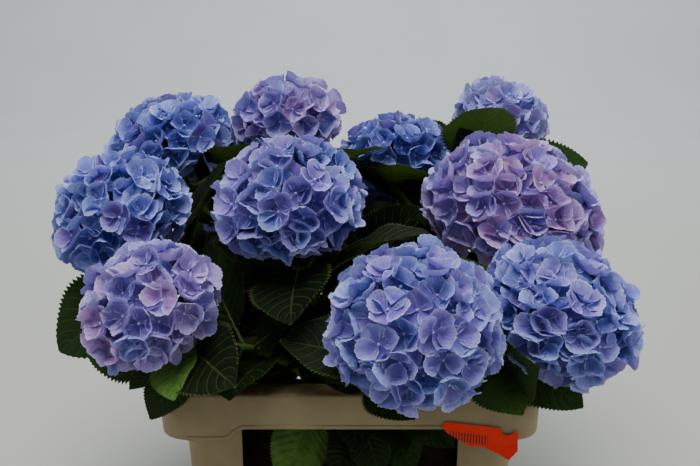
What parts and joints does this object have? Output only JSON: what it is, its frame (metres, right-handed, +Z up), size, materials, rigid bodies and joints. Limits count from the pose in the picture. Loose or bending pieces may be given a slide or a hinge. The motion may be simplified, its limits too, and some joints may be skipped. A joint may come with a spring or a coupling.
{
  "type": "potted hydrangea shrub",
  "caption": "Mophead hydrangea shrub in a cream moulded crate pot: leafy canes rise from a woody stool to domed heads of blue, periwinkle and lavender florets.",
  "frame": {"origin": "centre of the pot's flat underside", "axes": "+Z up along the shrub, +Y away from the pot's front window side, +X to the right seen from the front; metres"},
  "size_m": [0.6552, 0.6324, 0.5423],
  "materials": {
    "cream_plastic": "satin moulded plastic, slightly scuffed and stained at the rim",
    "black_plastic": "matt",
    "soil": "moist crumbly potting soil",
    "bark": "flaking grey-brown bark",
    "cane": "green young wood with pale specks",
    "leaf": "soft sheen, quilted between its veins",
    "petals_blue": "soft, thin, veined",
    "petals_periwinkle": "soft, thin, veined",
    "petals_lavender": "soft, thin, veined",
    "petals_mauve": "soft, thin, veined"
  },
  "bodies": {
    "root": {"crate_base": "cream_plastic", "crate_band": "cream_plastic", "crate_post_front_left": "cream_plastic", "crate_skirt_front_left": "cream_plastic", "crate_post_front_right": "cream_plastic", "crate_skirt_front_right": "cream_plastic", "crate_post_back_left": "cream_plastic", "crate_skirt_back_left": "cream_plastic", "crate_post_back_right": "cream_plastic", "crate_skirt_back_right": "cream_plastic", "growing_tub": "black_plastic", "soil": "soil", "woody_stool": "bark", "cane_front_left": "cane", "foliage_front_left": "leaf", "bloom_front_left": "petals_lavender", "cane_front_middle": "cane", "foliage_front_middle": "leaf", "bloom_front_middle": "petals_periwinkle", "cane_front_right": "cane", "foliage_front_right": "leaf", "bloom_front_right": "petals_periwinkle", "cane_left": "cane", "foliage_left": "leaf", "bloom_left": "petals_blue", "cane_centre": "cane", "foliage_centre": "leaf", "bloom_centre": "petals_periwinkle", "cane_right": "cane", "foliage_right": "leaf", "bloom_right": "petals_mauve", "cane_back_left": "cane", "foliage_back_left": "leaf", "bloom_back_left": "petals_blue", "cane_back_middle": "cane", "foliage_back_middle": "leaf", "bloom_back_middle": "petals_lavender", "cane_back_inner": "cane", "foliage_back_inner": "leaf", "bloom_back_inner": "petals_blue", "cane_back_right": "cane", "foliage_back_right": "leaf", "bloom_back_right": "petals_lavender", "cane_rear_left": "cane", "foliage_rear_left": "leaf", "bloom_rear_left": "petals_periwinkle", "cane_rear_middle": "cane", "foliage_rear_middle": "leaf", "bloom_rear_middle": "petals_lavender", "cane_rear_right": "cane", "foliage_rear_right": "leaf", "bloom_rear_right": "petals_blue"}
  },
  "joints": []
}
